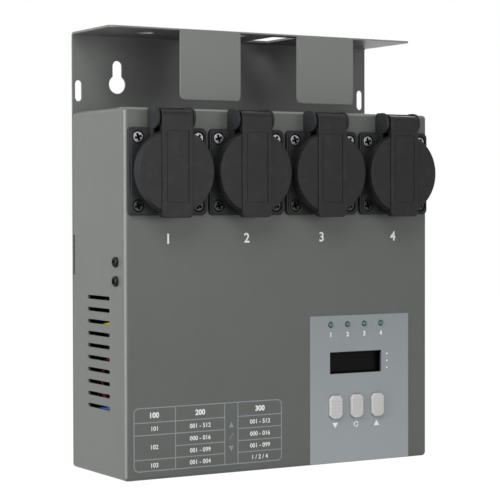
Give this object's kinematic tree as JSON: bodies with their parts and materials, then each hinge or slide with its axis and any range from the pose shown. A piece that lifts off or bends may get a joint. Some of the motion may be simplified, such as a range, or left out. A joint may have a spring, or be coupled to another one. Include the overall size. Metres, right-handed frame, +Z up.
{
  "type": "dmx switch pack",
  "caption": "Wall-mounted steel case with mains sockets under sprung round lids, a control panel with lamps, window and keys, side connectors, and a bent bracket with tabs above.",
  "frame": {"origin": "centre of the case's bottom face, in plan the middle of its width and of its depth", "axes": "+Z up along the wall plate, +Y out of the back towards the wall, -Y out of the front with the sockets and controls, +X to the right as the front is seen"},
  "size_m": [0.2292, 0.0832, 0.257],
  "materials": {
    "case_paint": "fine-textured grey powder coat",
    "socket_plastic": "satin black moulded plastic",
    "lid_plastic": "satin dark grey moulded plastic",
    "bright_steel": "bright plated steel",
    "black_steel": "blackened steel",
    "panel_film": null,
    "lamp_lens": "clear green lens, unlit",
    "key_plastic": "light grey moulded plastic",
    "display_glass": "dark tinted window",
    "circuit_board": "green solder resist",
    "relay_case": "blue moulded plastic",
    "transformer_core": "taped coil on a laminated core",
    "fitting_plastic": "black moulded plastic"
  },
  "bodies": {
    "case": {"rear_chassis": "case_paint", "front_cover": "case_paint", "socket_1_body": "socket_plastic", "socket_1_hinge_pin": "bright_steel", "socket_1_lid_spring": "bright_steel", "socket_1_screw_upper_left": "bright_steel", "socket_1_screw_upper_right": "bright_steel", "socket_1_screw_lower_left": "bright_steel", "socket_1_screw_lower_right": "bright_steel", "socket_2_body": "socket_plastic", "socket_2_hinge_pin": "bright_steel", "socket_2_lid_spring": "bright_steel", "socket_2_screw_upper_left": "bright_steel", "socket_2_screw_upper_right": "bright_steel", "socket_2_screw_lower_left": "bright_steel", "socket_2_screw_lower_right": "bright_steel", "socket_3_body": "socket_plastic", "socket_3_hinge_pin": "bright_steel", "socket_3_lid_spring": "bright_steel", "socket_3_screw_upper_left": "bright_steel", "socket_3_screw_upper_right": "bright_steel", "socket_3_screw_lower_left": "bright_steel", "socket_3_screw_lower_right": "bright_steel", "socket_4_body": "socket_plastic", "socket_4_hinge_pin": "bright_steel", "socket_4_lid_spring": "bright_steel", "socket_4_screw_upper_left": "bright_steel", "socket_4_screw_upper_right": "bright_steel", "socket_4_screw_lower_left": "bright_steel", "socket_4_screw_lower_right": "bright_steel", "side_screw_upper": "black_steel", "side_screw_lower": "black_steel", "control_label_film": "panel_film", "channel_1_lamp": "lamp_lens", "channel_2_lamp": "lamp_lens", "channel_3_lamp": "lamp_lens", "channel_4_lamp": "lamp_lens", "display_module": "display_glass", "control_board": "circuit_board", "relay_board": "circuit_board", "relay_1": "relay_case", "relay_2": "relay_case", "relay_3": "relay_case", "relay_4": "relay_case", "supply_transformer": "transformer_core", "signal_inlet": "fitting_plastic", "signal_outlet": "fitting_plastic", "breaker_body": "fitting_plastic", "gland_body": "fitting_plastic", "gland_cap": "fitting_plastic"},
    "lid_1": {"socket_1_lid": "lid_plastic"},
    "lid_2": {"socket_2_lid": "lid_plastic"},
    "lid_3": {"socket_3_lid": "lid_plastic"},
    "lid_4": {"socket_4_lid": "lid_plastic"},
    "down_key": {"key_down": "key_plastic"},
    "mode_key": {"key_mode": "key_plastic"},
    "up_key": {"key_up": "key_plastic"},
    "reset_button": {"breaker_button": "key_plastic"},
    "latch": {"outlet_latch": "bright_steel"}
  },
  "joints": [
    {"name": "lid_1_hinge", "type": "hinge", "parent": "case", "child": "lid_1", "pos_m": [-0.07733, -0.0415, 0.204], "axis": [-1, 0, 0], "range_deg": [0, 105], "stiffness_Nm_per_rad": 0.01, "springref_deg": -34.38},
    {"name": "lid_2_hinge", "type": "hinge", "parent": "case", "child": "lid_2", "pos_m": [-0.02577, -0.0415, 0.204], "axis": [-1, 0, 0], "range_deg": [0, 105], "stiffness_Nm_per_rad": 0.01, "springref_deg": -34.38},
    {"name": "lid_3_hinge", "type": "hinge", "parent": "case", "child": "lid_3", "pos_m": [0.02577, -0.0415, 0.204], "axis": [-1, 0, 0], "range_deg": [0, 105], "stiffness_Nm_per_rad": 0.01, "springref_deg": -34.38},
    {"name": "lid_4_hinge", "type": "hinge", "parent": "case", "child": "lid_4", "pos_m": [0.07733, -0.0415, 0.204], "axis": [-1, 0, 0], "range_deg": [0, 105], "stiffness_Nm_per_rad": 0.01, "springref_deg": -34.38},
    {"name": "down_key_press", "type": "slide", "parent": "case", "child": "down_key", "axis": [0, 1, 0], "range_m": [0, 0.0008], "stiffness_N_per_m": 400, "springref_m": -0.001},
    {"name": "mode_key_press", "type": "slide", "parent": "case", "child": "mode_key", "axis": [0, 1, 0], "range_m": [0, 0.0008], "stiffness_N_per_m": 400, "springref_m": -0.001},
    {"name": "up_key_press", "type": "slide", "parent": "case", "child": "up_key", "axis": [0, 1, 0], "range_m": [0, 0.0008], "stiffness_N_per_m": 400, "springref_m": -0.001},
    {"name": "reset_button_press", "type": "slide", "parent": "case", "child": "reset_button", "axis": [-1, 0, 0], "range_m": [0, 0.0025], "stiffness_N_per_m": 400, "springref_m": -0.001},
    {"name": "latch_press", "type": "slide", "parent": "case", "child": "latch", "axis": [-1, 0, 0], "range_m": [0, 0.0012], "stiffness_N_per_m": 400, "springref_m": -0.001}
  ]
}
